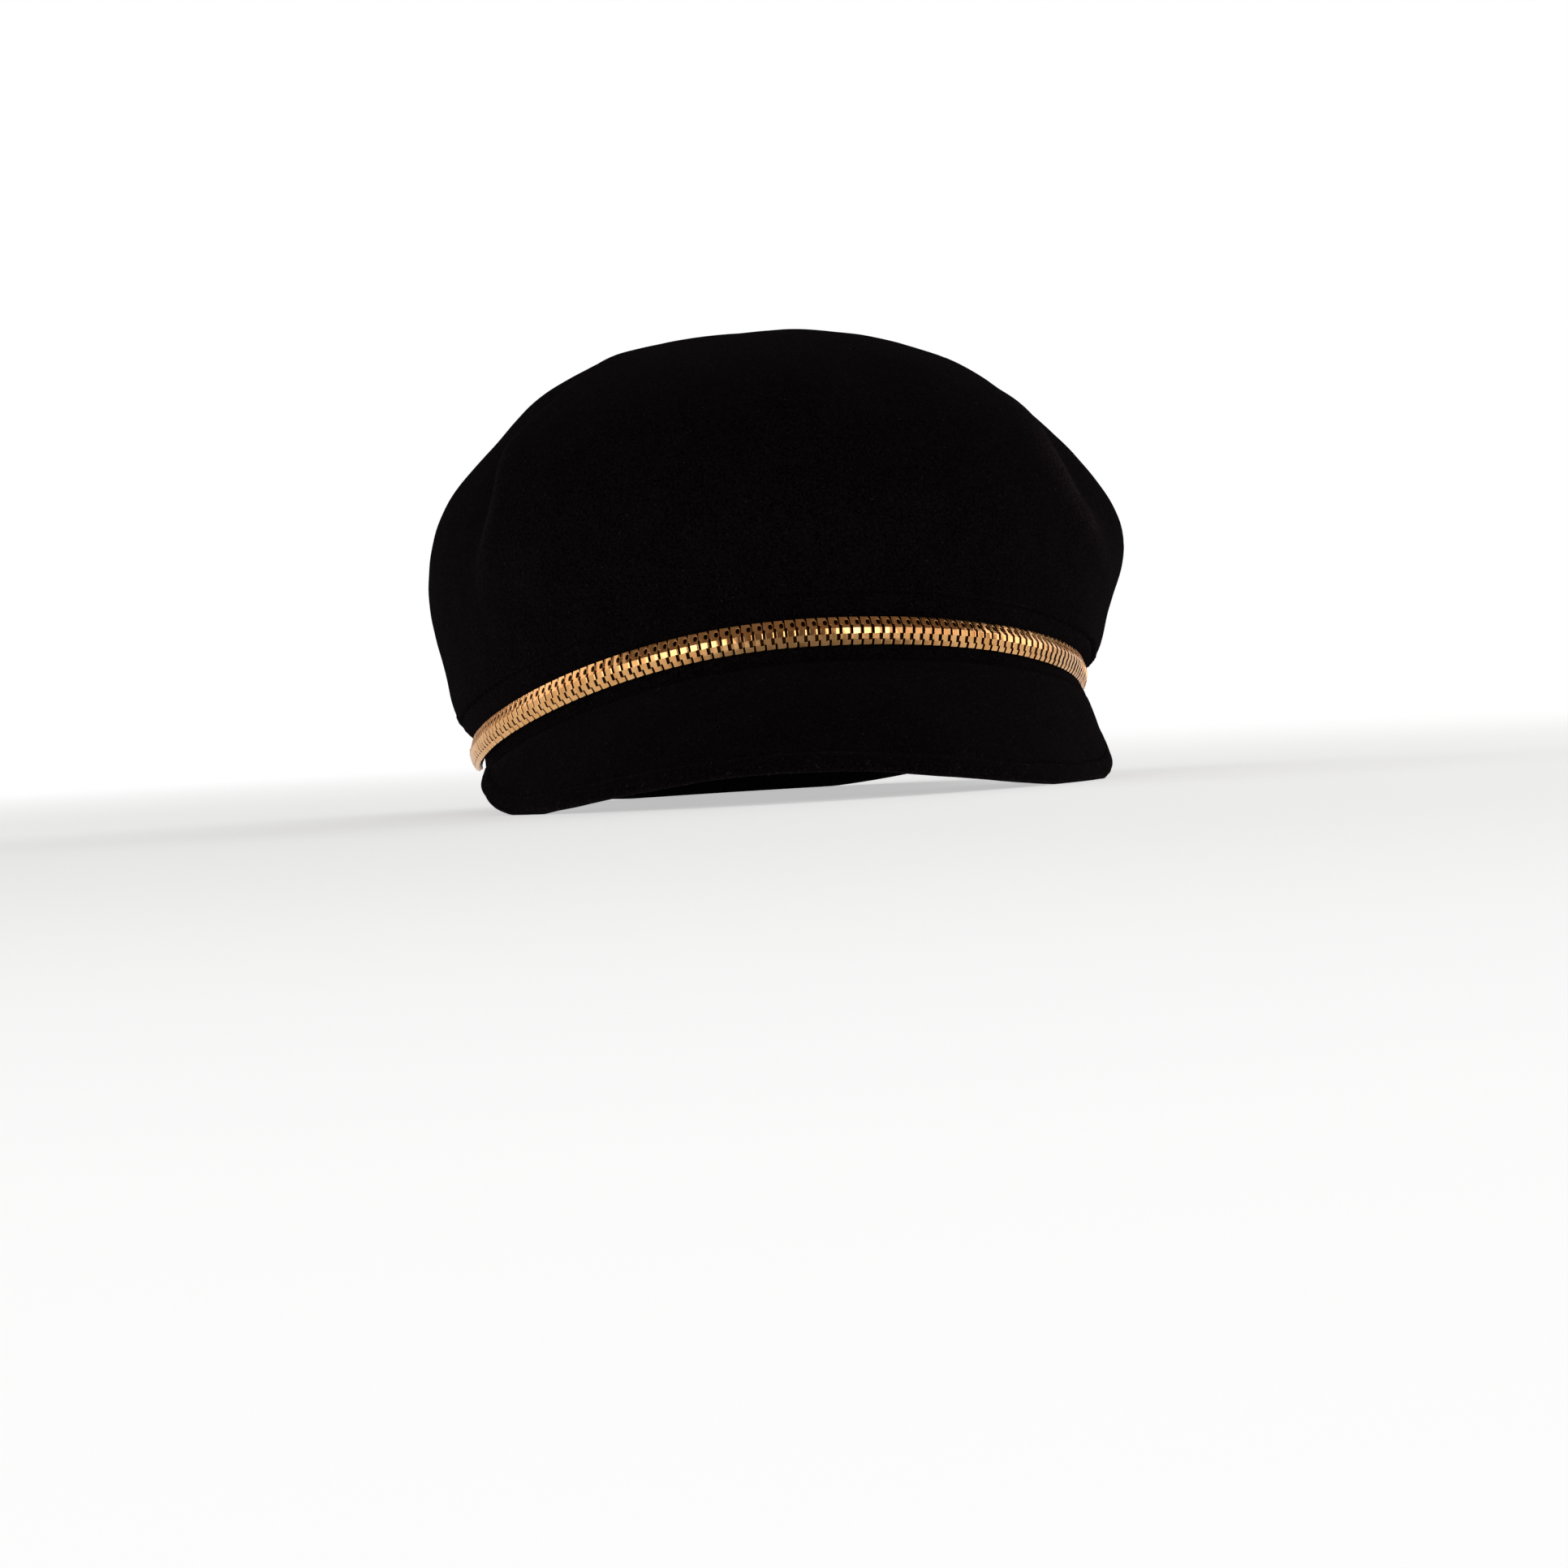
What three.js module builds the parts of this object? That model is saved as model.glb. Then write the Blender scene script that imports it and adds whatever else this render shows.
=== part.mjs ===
// Baker boy cap in black wool felt: a full blocked crown, a short sloping peak and a flat gold chain.
// Millimetres. The cap stands as it rests on a table: -Y is the front, +X the viewer's right, +Z up,
// and z = 0 is the surface under the back of the rim and the two corners of the peak.
import * as THREE from 'three';

// Felt
const CROWN_WALL = 2.2;
const PEAK_WALL = 2.8;
const GAP = 0.35;

// How the cap rests: tipped back on the rear of its rim, whose felt is pressed flat a little.
// The tilt is in degrees, as every angle here is.
const REST_TILT = 9.1;
const RIM_BACK = 99.5;
const RIM_PRESS = 1.0;

// Middle of the whole cap's box, measured from the middle of the head opening
const BOX_MIDDLE = { x: 1.6, y: -3.2 };

// Small steps over the felt from which directions are worked out
const AZIMUTH_STEP = 0.5;
const LEVEL_STEP = 0.05;
const RUN_STEP = 0.02;

// Crown: one row for each level of the felt, from the rim to the crown's top.
// Heights are over the plane of the rim, reaches are from the middle of the head opening.
const LEVEL_COLUMNS = [
  'upFront', 'upLeft', 'upRight', 'upBack', 'outFront', 'outLeft', 'outRight', 'outBack', 'square',
];
const CROWN_LEVELS = {
  rim: [7.5, -4, 5, 0, 99.5, 86, 88, 99.5, 2.05],
  band: [16.5, 5, 13, 9.5, 100, 87.5, 84.6, 100, 2.05],
  stitchLine: [27.5, 14.6, 20.5, 19.5, 100, 93.6, 93, 102.5, 2.05],
  swell: [37.5, 28, 32, 30, 104.5, 95.9, 97, 109, 2.1],
  widest: [53, 51, 52, 48, 108, 99.5, 102.8, 114, 2.2],
  shoulder: [74, 73, 73, 69, 103, 94.3, 91, 110, 2.25],
  brow: [92, 90, 90, 88, 89, 79.2, 73.6, 94, 2.25],
  dome: [105.5, 103.8, 103, 102, 66, 63.5, 57.5, 70, 2.2],
  nearTop: [113.8, 112.8, 111.8, 112, 36, 38.5, 31, 38, 2.05],
  top: [115.8, 115.8, 115.8, 115.8, 0, 0, 0, 0, 2],
};
const CROWN_COLUMNS_ROUND = 64;

// Levels at which the crown's skin has a row, closest behind the chain
const CROWN_ROWS = [
  0, 0.45, 0.83, 1.05, 1.27, 1.5, 1.8, 2.25, 2.7, 3.15, 3.6,
  4.05, 4.5, 4.95, 5.4, 5.85, 6.3, 6.75, 7.2, 7.65, 8.1, 8.55,
];

// Folds of the crown: each is a raised edge with a dip behind it, followed from level to level
const FOLD_COLUMNS = ['level', 'azimuth', 'lift', 'dip'];
const FOLDS = {
  left: [
    [3.0, -66, 0, 0],
    [3.8, -61, 0.8, 2.4],
    [4.6, -55.5, 1.6, 5],
    [5.6, -55, 1.6, 5.6],
    [6.5, -50, 1.3, 4.4],
    [7.4, -43, 0.5, 1.6],
    [8.0, -38, 0, 0],
  ],
  right: [
    [3.0, 70, 0, 0],
    [3.7, 59, 0.6, 1.6],
    [4.4, 49, 1.2, 2.8],
    [5.0, 47.5, 1.2, 2.4],
    [5.8, 47, 0.6, 1.0],
    [6.6, 44, 0, 0],
  ],
};
const FOLD_EDGE_WIDTH = 6;
const FOLD_DIP_WIDTH = 8;
const FOLD_DIP_BEHIND = 10;

// Soft dents and swellings: middle (azimuth, level), half sizes (azimuth, levels), depth inwards
const DENTS = {
  topDimple: { azimuth: 15, level: 5.7, wide: 11, tall: 0.9, depth: 2.4 },
  topRidge: { azimuth: -1, level: 5.8, wide: 9, tall: 0.8, depth: -1.2 },
  frontSwell: { azimuth: 4.5, level: 3.9, wide: 9, tall: 0.5, depth: -1 },
  frontHollow: { azimuth: -20, level: 4.6, wide: 14, tall: 0.7, depth: 1.2 },
  backLeft: { azimuth: -146, level: 4.9, wide: 9, tall: 1.5, depth: 2.6 },
  backRight: { azimuth: 150, level: 4.7, wide: 10, tall: 1.4, depth: 2.2 },
};

// Groove that the chain's upper edge presses into the felt, deepest at the right, where the band is
// drawn in most
const CHAIN_SEAT = { level: 1.3, tall: 0.22, depth: 2.4, sharpness: 6 };

// Peak: by azimuth of its seam, how far it stands out in plan and how high its edge is over the table
const PEAK_COLUMNS = ['azimuth', 'out', 'up'];
const PEAK_EDGE = [
  [-80, 1.6, 12.5],
  [-74, 6.2, 8.2],
  [-66, 9.2, 3.8],
  [-56, 11, 0.8],
  [-44, 15, 2.3],
  [-30, 21.5, 5.4],
  [-15, 28, 8.8],
  [0, 30.5, 9.5],
  [15, 28, 6.2],
  [30, 21.5, 2.5],
  [44, 14, 0.6],
  [56, 9.5, 0.5],
  [66, 8, 1.8],
  [74, 6, 6.5],
  [80, 1.6, 14],
];
const PEAK_COLUMNS_ACROSS = 44;
const PEAK_ROWS = 7;

// How far the peak arches out at its middle, and the share of it over which its under face
// comes in to the rim's width
const PEAK_BELLY = 2.4;
const PEAK_TURN_IN = 0.3;

// Chain: a flat faceted section swept along the band just over the peak's seam
const CHAIN_LEVEL = 0.83;
const CHAIN_START = -96;
const CHAIN_END = 88;
const CHAIN_STEPS = 64;
const CHAIN_SECTION = [
  { across: -3.6, out: 1.5 },
  { across: -4.2, out: 2.45 },
  { across: -3.05, out: 3.1 },
  { across: -1.1, out: 3.66 },
  { across: 0.4, out: 3.7 },
  { across: 3.6, out: 1.95 },
  { across: 3.4, out: 1.35 },
];

// Crimped cap on each end of the chain: its size, and how its section shrinks along it
const CHAIN_CAP = { width: 6.4, thick: 2.2, clear: 1.1, sides: 16, roundness: 0.45 };
const CHAIN_CAP_STEPS = [
  { along: 0, shrink: 0.3 },
  { along: 0.4, shrink: 0 },
  { along: 3, shrink: 0 },
  { along: 3.7, shrink: 0.3 },
  { along: 4, shrink: 0.8 },
];

const felt = () => new THREE.MeshStandardMaterial({ color: 0x0b0a0c, roughness: 0.95, metalness: 0 });
const gold = () => new THREE.MeshStandardMaterial({ color: 0xc8965a, roughness: 0.25, metalness: 1 });

const radians = THREE.MathUtils.degToRad;

// A smooth curve through the rows of a table: cubic pieces whose slopes at a row are the weighted
// mean of the slopes on both sides of it
function smoothTable(rows, knots) {
  const last = rows.length - 1;
  const steps = knots.slice(1).map((knot, i) => knot - knots[i]);
  const slopes = steps.map((step, i) => rows[i].map((v, k) => (rows[i + 1][k] - v) / step));
  const tangents = rows.map((row, i) => {
    if (i === 0 || i === last) return slopes[Math.min(i, last - 1)];
    const before = steps[i - 1];
    const after = steps[i];
    return row.map((_, k) => (slopes[i - 1][k] * after + slopes[i][k] * before) / (before + after));
  });
  return (at) => {
    const passed = knots.filter((knot) => knot <= at).length;
    const i = THREE.MathUtils.clamp(passed - 1, 0, last - 1);
    const f = (at - knots[i]) / steps[i];
    const keep = 2 * f ** 3 - 3 * f ** 2 + 1;
    const leave = (f ** 3 - 2 * f ** 2 + f) * steps[i];
    const arrive = (f ** 3 - f ** 2) * steps[i];
    return rows[i].map((v, k) => keep * v + leave * tangents[i][k]
      + (1 - keep) * rows[i + 1][k] + arrive * tangents[i + 1][k]);
  };
}

const named = (columns, values) => Object.fromEntries(columns.map((name, k) => [name, values[k]]));

const levelRows = Object.values(CROWN_LEVELS);
const TOP_LEVEL = levelRows.length - 1;
const levelCurve = smoothTable(levelRows, levelRows.map((_, i) => i));
const foldCurves = Object.values(FOLDS).map((rows) => ({
  side: Math.sign(rows[0][1]),
  low: rows[0][0],
  high: rows[rows.length - 1][0],
  at: smoothTable(rows, rows.map((row) => row[0])),
}));
const peakCurve = smoothTable(PEAK_EDGE, PEAK_EDGE.map((row) => row[0]));
const PEAK_FURTHEST = Math.max(...PEAK_EDGE.map((row) => row[1]));

const bell = (x) => Math.exp(-x * x);
const power = (x, n) => Math.sign(x) * Math.abs(x) ** n;

// Smooth crown without its folds, over the plane of the rim. Azimuth 0 is the front.
function plainCrown(azimuth, level) {
  const row = named(LEVEL_COLUMNS, levelCurve(level));
  const ahead = Math.cos(radians(azimuth));
  const aside = Math.sin(radians(azimuth));
  const up = Math.max(ahead, 0) ** 2 * row.upFront + Math.max(-ahead, 0) ** 2 * row.upBack
    + aside ** 2 * (aside > 0 ? row.upRight : row.upLeft);
  const bend = 2 / row.square;
  return new THREE.Vector3(
    (aside > 0 ? row.outRight : row.outLeft) * power(aside, bend),
    -(ahead > 0 ? row.outFront : row.outBack) * power(ahead, bend),
    up,
  );
}

// Outward normal of the plain crown, from two small steps on it
function crownNormal(azimuth, level) {
  const low = Math.max(level - LEVEL_STEP, 0);
  const high = Math.min(level + LEVEL_STEP, TOP_LEVEL - LEVEL_STEP);
  const left = plainCrown(azimuth - AZIMUTH_STEP, level);
  const around = plainCrown(azimuth + AZIMUTH_STEP, level).sub(left);
  const upwards = plainCrown(azimuth, high).sub(plainCrown(azimuth, low));
  return around.cross(upwards).normalize();
}

const wrapped = (azimuth) => THREE.MathUtils.euclideanModulo(azimuth + 180, 360) - 180;

// How far the felt stands out from the plain crown: lift of each fold's edge less its dip and the dents
function relief(azimuth, level) {
  let height = 0;
  for (const curve of foldCurves) {
    if (level > curve.low && level < curve.high) {
      const fold = named(FOLD_COLUMNS, curve.at(level));
      const edge = wrapped(azimuth - fold.azimuth) / FOLD_EDGE_WIDTH;
      const dip = wrapped(azimuth - fold.azimuth - curve.side * FOLD_DIP_BEHIND) / FOLD_DIP_WIDTH;
      height += Math.max(fold.lift, 0) * bell(edge) - Math.max(fold.dip, 0) * bell(dip);
    }
  }
  for (const dent of Object.values(DENTS)) {
    const aside = wrapped(azimuth - dent.azimuth) / dent.wide;
    height -= dent.depth * bell(aside) * bell((level - dent.level) / dent.tall);
  }
  const right = Math.max(Math.sin(radians(azimuth)), 0) ** CHAIN_SEAT.sharpness;
  return height - CHAIN_SEAT.depth * right * bell((level - CHAIN_SEAT.level) / CHAIN_SEAT.tall);
}

// From the plane of the rim to the table: tipped back, pressed onto the table and set about the middle
function rested(point) {
  const tilt = radians(REST_TILT);
  return new THREE.Vector3(
    point.x - BOX_MIDDLE.x,
    point.y * Math.cos(tilt) + point.z * Math.sin(tilt) - BOX_MIDDLE.y,
    -point.y * Math.sin(tilt) + point.z * Math.cos(tilt) + RIM_BACK * Math.sin(tilt) - RIM_PRESS,
  );
}

const onTable = (point) => point.setZ(Math.max(point.z, 0));

// Point of the felt at a depth under the crown's outer face
function crownPoint(azimuth, level, depth = 0) {
  const out = relief(azimuth, level) - depth;
  const point = plainCrown(azimuth, level).addScaledVector(crownNormal(azimuth, level), out);
  return onTable(rested(point));
}

// A closed skin: rows of points joined to rows of points, each face wound to point outwards
class Skin {
  constructor() {
    this.points = [];
    this.faces = [];
  }

  add(point) {
    this.points.push(point.x, point.y, point.z);
    return this.points.length / 3 - 1;
  }

  quad(a, b, c, d) {
    this.faces.push(a, b, c, a, c, d);
  }

  // Joins two rows of the same length; the last is joined to the first when the rows are rings
  strip(lower, upper, ring) {
    const count = ring ? lower.length : lower.length - 1;
    for (let i = 0; i < count; i += 1) {
      const j = (i + 1) % lower.length;
      this.quad(lower[i], lower[j], upper[j], upper[i]);
    }
  }

  fan(row, tip) {
    row.forEach((point, i) => this.faces.push(point, row[(i + 1) % row.length], tip));
  }

  geometry() {
    const geometry = new THREE.BufferGeometry();
    geometry.setAttribute('position', new THREE.Float32BufferAttribute(this.points, 3));
    geometry.setIndex(this.faces);
    geometry.computeVertexNormals();
    return geometry;
  }
}

// Crown: an outer and an inner face that meet at the rim, each closed at the top by a fan
function crownGeometry() {
  const skin = new Skin();
  const turn = 360 / CROWN_COLUMNS_ROUND;
  const azimuths = Array.from({ length: CROWN_COLUMNS_ROUND }, (_, i) => i * turn - 180);
  const face = (depth) => CROWN_ROWS.map((level) => azimuths.map((a) => skin.add(crownPoint(a, level, depth))));
  const outer = face(0);
  const inner = face(CROWN_WALL);
  const top = rested(plainCrown(0, TOP_LEVEL));
  const outerTip = skin.add(top);
  const innerTip = skin.add(top.clone().setZ(top.z - CROWN_WALL));
  const last = CROWN_ROWS.length - 1;
  for (let i = 1; i <= last; i += 1) {
    skin.strip(outer[i - 1], outer[i], true);
    skin.strip(inner[i], inner[i - 1], true);
  }
  skin.fan(outer[last], outerTip);
  skin.fan([...inner[last]].reverse(), innerTip);
  skin.strip(inner[0], outer[0], true);
  return skin.geometry();
}

// Where the peak is sewn on: the rim's outer or inner edge, lowered by the gap along the wall
function seamPoint(azimuth, depth) {
  const edge = crownPoint(azimuth, 0, depth);
  const down = edge.clone().sub(crownPoint(azimuth, LEVEL_STEP, depth)).normalize();
  return edge.addScaledVector(down, GAP);
}

// Level direction away from the seam, square to it in plan
function seamOutward(azimuth) {
  const along = seamPoint(azimuth + AZIMUTH_STEP, 0).sub(seamPoint(azimuth - AZIMUTH_STEP, 0));
  return new THREE.Vector3(along.y, -along.x, 0).normalize();
}

// Top face of the peak: straight lines from the seam to the edge, arched outwards between them
function peakTop(azimuth, run) {
  const edge = named(PEAK_COLUMNS, peakCurve(azimuth));
  const seam = seamPoint(azimuth, 0);
  const outward = seamOutward(azimuth);
  const tip = seam.clone().addScaledVector(outward, edge.out).setZ(edge.up);
  const arch = PEAK_BELLY * (edge.out / PEAK_FURTHEST) * 4 * run * (1 - run);
  return seam.lerp(tip, run).addScaledVector(outward, arch);
}

// Under face of the peak: a wall's thickness inside the top face, and the rim's own width at the seam
function peakUnder(azimuth, run) {
  const along = peakTop(azimuth + AZIMUTH_STEP, run).sub(peakTop(azimuth - AZIMUTH_STEP, run));
  const outwards = peakTop(azimuth, run + RUN_STEP).sub(peakTop(azimuth, run - RUN_STEP));
  const inwards = along.cross(outwards).normalize();
  const under = peakTop(azimuth, run).addScaledVector(inwards, PEAK_WALL);
  const atSeam = seamPoint(azimuth, CROWN_WALL);
  return atSeam.lerp(under, THREE.MathUtils.smoothstep(run, 0, PEAK_TURN_IN));
}

function peakGeometry() {
  const skin = new Skin();
  const reach = PEAK_EDGE[PEAK_EDGE.length - 1][0];
  const azimuths = Array.from({ length: PEAK_COLUMNS_ACROSS + 1 },
    (_, i) => reach * Math.sin(radians(90 * ((2 * i) / PEAK_COLUMNS_ACROSS - 1))));
  const runs = Array.from({ length: PEAK_ROWS }, (_, i) => i / (PEAK_ROWS - 1));
  const face = (at) => runs.map((run) => azimuths.map((a) => skin.add(onTable(at(a, run)))));
  const top = face(peakTop);
  const under = face(peakUnder);
  for (let i = 1; i < PEAK_ROWS; i += 1) {
    skin.strip(top[i], top[i - 1], false);
    skin.strip(under[i - 1], under[i], false);
  }
  skin.strip(top[0], under[0], false);
  skin.strip(under[PEAK_ROWS - 1], top[PEAK_ROWS - 1], false);
  const side = (rows, column) => rows.map((row) => row[column]);
  skin.strip(side(under, 0), side(top, 0), false);
  skin.strip(side(top, PEAK_COLUMNS_ACROSS), side(under, PEAK_COLUMNS_ACROSS), false);
  return skin.geometry();
}

// Place on the chain's route: a point of the felt, the way along it, away from the felt and across it
function chainPlace(azimuth) {
  const point = crownPoint(azimuth, CHAIN_LEVEL);
  const before = crownPoint(azimuth - AZIMUTH_STEP, CHAIN_LEVEL);
  const along = crownPoint(azimuth + AZIMUTH_STEP, CHAIN_LEVEL).sub(before).normalize();
  const below = crownPoint(azimuth, CHAIN_LEVEL - LEVEL_STEP);
  const up = crownPoint(azimuth, CHAIN_LEVEL + LEVEL_STEP).sub(below);
  const out = along.clone().cross(up).normalize();
  const across = out.clone().cross(along).normalize();
  return { point, along, out, across };
}

// Sections carried along the chain's route, one for each place, closed at both ends
function sweptGeometry(places, sections) {
  const skin = new Skin();
  const rings = places.map((place, i) => sections[i].map((s) => skin.add(place.point.clone()
    .addScaledVector(place.across, s.across)
    .addScaledVector(place.out, s.out))));
  for (let i = 1; i < rings.length; i += 1) skin.strip(rings[i], rings[i - 1], true);
  const middle = (ring) => {
    const sum = new THREE.Vector3();
    ring.forEach((k) => sum.add(new THREE.Vector3().fromArray(skin.points, k * 3)));
    return skin.add(sum.divideScalar(ring.length));
  };
  skin.fan(rings[0], middle(rings[0]));
  const end = rings[rings.length - 1];
  skin.fan([...end].reverse(), middle(end));
  return skin.geometry();
}

function chainGeometry() {
  const places = Array.from({ length: CHAIN_STEPS + 1 },
    (_, i) => chainPlace(CHAIN_START + ((CHAIN_END - CHAIN_START) * i) / CHAIN_STEPS));
  return sweptGeometry(places, places.map(() => CHAIN_SECTION));
}

// Plain crimped cap that goes on from a chain end along the felt: a block with rounded edges.
// Onward is -1 for the left end and 1 for the right end.
function chainEndGeometry(azimuth, onward) {
  const perDegree = chainPlace(azimuth).point.distanceTo(chainPlace(azimuth + 1).point);
  const section = (shrink) => Array.from({ length: CHAIN_CAP.sides }, (_, i) => {
    const angle = (-2 * Math.PI * (i + 0.5)) / CHAIN_CAP.sides;
    return {
      across: power(Math.cos(angle), CHAIN_CAP.roundness) * (CHAIN_CAP.width / 2 - shrink),
      out: CHAIN_CAP.clear + CHAIN_CAP.thick / 2
        + power(Math.sin(angle), CHAIN_CAP.roundness) * (CHAIN_CAP.thick / 2 - shrink),
    };
  });
  const steps = CHAIN_CAP_STEPS.map((step) => ({ ...step, run: onward * (GAP + step.along) }));
  steps.sort((a, b) => a.run - b.run);
  const places = steps.map((step) => chainPlace(azimuth + step.run / perDegree));
  return sweptGeometry(places, steps.map((step) => section(step.shrink)));
}

const cap = new THREE.Group();

function addPiece(name, geometry, material) {
  const mesh = new THREE.Mesh(geometry, material);
  mesh.name = name;
  cap.add(mesh);
}

addPiece('crown', crownGeometry(), felt());
addPiece('peak', peakGeometry(), felt());
addPiece('chain', chainGeometry(), gold());
addPiece('chain_end_left', chainEndGeometry(CHAIN_START, -1), gold());
addPiece('chain_end_right', chainEndGeometry(CHAIN_END, 1), gold());

export default cap;
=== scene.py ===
# Baker boy cap in black wool felt: full soft crown, short peak and a flat gold chain over its seam
import bpy
import math
import numpy as np
from mathutils import Matrix, Vector


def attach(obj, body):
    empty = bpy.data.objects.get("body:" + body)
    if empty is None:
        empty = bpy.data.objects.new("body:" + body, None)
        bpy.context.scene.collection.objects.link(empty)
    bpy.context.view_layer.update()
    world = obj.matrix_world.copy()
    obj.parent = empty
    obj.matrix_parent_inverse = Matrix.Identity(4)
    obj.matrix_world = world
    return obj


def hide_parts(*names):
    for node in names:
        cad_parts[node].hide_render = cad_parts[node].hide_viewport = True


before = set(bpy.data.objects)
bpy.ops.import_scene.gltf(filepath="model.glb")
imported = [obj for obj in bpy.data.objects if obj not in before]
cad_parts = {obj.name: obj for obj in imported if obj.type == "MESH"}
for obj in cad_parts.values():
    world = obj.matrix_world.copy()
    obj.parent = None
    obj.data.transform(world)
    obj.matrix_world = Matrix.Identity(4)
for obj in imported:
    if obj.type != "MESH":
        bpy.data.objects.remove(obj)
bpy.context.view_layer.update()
mm = 0.001                    # everything below is worked out in millimetres and scaled at the end
print("frame loaded:", ", ".join(sorted(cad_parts)))

# The photograph: its size in pixels, how many millimetres one covers at the cap, and where the
# point between the cap's two sides at aim lies in it
photo = {
    "size": 1932,
    "mmPerPixel": 0.235,
    "aimPixel": (953, 707),
    "aim": (-1.6, 3.2, 64.0),
    "distance": 1500.0,
    "azimuth": -5.5,          # degrees round from the cap's front
    "elevation": -1.4,
    "roll": 3.4,
}


# Vectors brought to a length of one
def unit(v):
    return v/np.linalg.norm(v, axis=-1, keepdims=True)


# Camera: stands at an azimuth and elevation from aim, rolled, then swung so that aim falls on its pixel
def makeCamera():
    az, el, roll = (math.radians(photo[k]) for k in ("azimuth", "elevation", "roll"))
    away = np.array([math.sin(az)*math.cos(el), -math.cos(az)*math.cos(el), math.sin(el)])
    right = unit(np.cross(-away, [0, 0, 1]))
    up = np.cross(right, -away)
    tiltedRight = right*math.cos(roll) - up*math.sin(roll)
    tiltedUp = right*math.sin(roll) + up*math.cos(roll)
    focal = photo["distance"]/photo["mmPerPixel"]     # in pixels
    dx, dy = (photo["size"]/2 - p for p in photo["aimPixel"])
    ahead = unit(-away*focal + tiltedRight*dx - tiltedUp*dy)
    sideways = unit(tiltedRight - ahead*(tiltedRight @ ahead))
    upward = np.cross(sideways, ahead)
    data = bpy.data.cameras.new("camera")
    data.sensor_width = 36
    data.lens = 36*focal/photo["size"]
    data.clip_start, data.clip_end = 0.05, 50
    camera = bpy.data.objects.new("camera", data)
    place = np.eye(4)
    place[:3, 0], place[:3, 1], place[:3, 2] = sideways, upward, -ahead
    place[:3, 3] = (np.array(photo["aim"]) + away*photo["distance"])*mm
    camera.matrix_world = Matrix(place.tolist())
    bpy.context.scene.collection.objects.link(camera)
    bpy.context.scene.camera = camera


makeCamera()
print("camera placed")

# How the cap rests: tipped back on the rear of its rim and the two corners of the peak
rest = {"tilt": 9.1, "rimBack": 99.5, "press": 1.0, "middleX": 1.6, "middleY": -3.2}

crown = {
    "wall": 2.2,
    # for each level: height at front, left, right, back; reach to front, left, right, back; squareness
    "levels": np.array([
        [7.5, -4, 5, 0, 99.5, 86, 88, 99.5, 2.05],              # rim
        [16.5, 5, 13, 9.5, 100, 87.5, 84.6, 100, 2.05],         # band
        [27.5, 14.6, 20.5, 19.5, 100, 93.6, 93, 102.5, 2.05],   # stitch line
        [37.5, 28, 32, 30, 104.5, 95.9, 97, 109, 2.1],          # swell
        [53, 51, 52, 48, 108, 99.5, 102.8, 114, 2.2],           # widest
        [74, 73, 73, 69, 103, 94.3, 91, 110, 2.25],             # shoulder
        [92, 90, 90, 88, 89, 79.2, 73.6, 94, 2.25],             # brow
        [105.5, 103.8, 103, 102, 66, 63.5, 57.5, 70, 2.2],      # dome
        [113.8, 112.8, 111.8, 112, 36, 38.5, 31, 38, 2.05],     # near the top
        [115.8, 115.8, 115.8, 115.8, 0, 0, 0, 0, 2],            # top
    ]),
    # folds on the left (-1) and right (1): level, azimuth of the crease, rise before it, drop behind it
    "folds": {
        -1: np.array([[3.2, -64, 0, 0], [3.8, -60, 0.4, 1.8], [4.5, -55.5, 1.0, 5.2],
                      [5.5, -55.5, 1.4, 6.6], [6.2, -51, 1.2, 5.6], [6.9, -49, 0.5, 2.6], [7.5, -48, 0, 0]]),
        1: np.array([[3.2, 72, 0, 0], [3.6, 58, 0.7, 1.6], [4.0, 51.5, 1.5, 3.4],
                     [4.6, 49, 2.0, 4.2], [5.2, 51, 1.6, 3.2], [5.9, 53, 0.3, 0.6], [6.3, 54, 0, 0]]),
    },
    "foldRise": 7, "foldDrop": 6.5, "creaseSoft": 0.7,     # degrees
    # painted highlight along a crease: where it is lightest and how wide, in degrees, and how light; then
    # the same for the painted shade in the valley behind it
    "ridgeAt": {-1: 0.4, 1: -1}, "ridgeWide": {-1: 1.9, 1: 5.5}, "ridgeHighlight": 1.4,
    "valleyAt": 5, "valleyWide": 4.5, "valleyShade": 0.1,
    # soft dents and swellings: azimuth, level, half width, half height in levels, depth
    "dents": [[15, 5.7, 11, 0.9, 2.4], [-1, 5.8, 9, 0.8, -1.2], [4.5, 3.9, 9, 0.5, -1],
              [-20, 4.6, 14, 0.7, 1.2], [-146, 4.9, 9, 1.5, 2.6], [150, 4.7, 10, 1.4, 2.2]],
    # groove that the chain's upper edge presses into the felt at the right: level, half height in
    # levels, depth, and the power of the azimuth's sine that fades it out
    "seat": (1.3, 0.22, 2.4, 6),
    "columns": 384,
    "rowLevels": (7, 2.3, 1.6), "rimLevel": 0.07,      # where the rows change pitch, and the rim begins
    "stitchFront": 1.84, "stitchSide": 1.8,      # level of the stitch line over the chain
    "groove": 0.95, "grooveWidth": 0.05,         # depth, and half width in levels
    # swellings over and under the groove: place and half width in widths of the groove, height, and
    # how much of the height a stitch pulls down
    "swells": ((2.2, 1.3, 0.5, 0.3), (-2.2, 1.4, 0.3, 0.2)),
    "hollowWaves": ((52, 0.22), (21, 0.05), (8, 0.02)),   # wavelength and height of the felt's unevenness
}
topLevel = len(crown["levels"]) - 1


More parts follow.
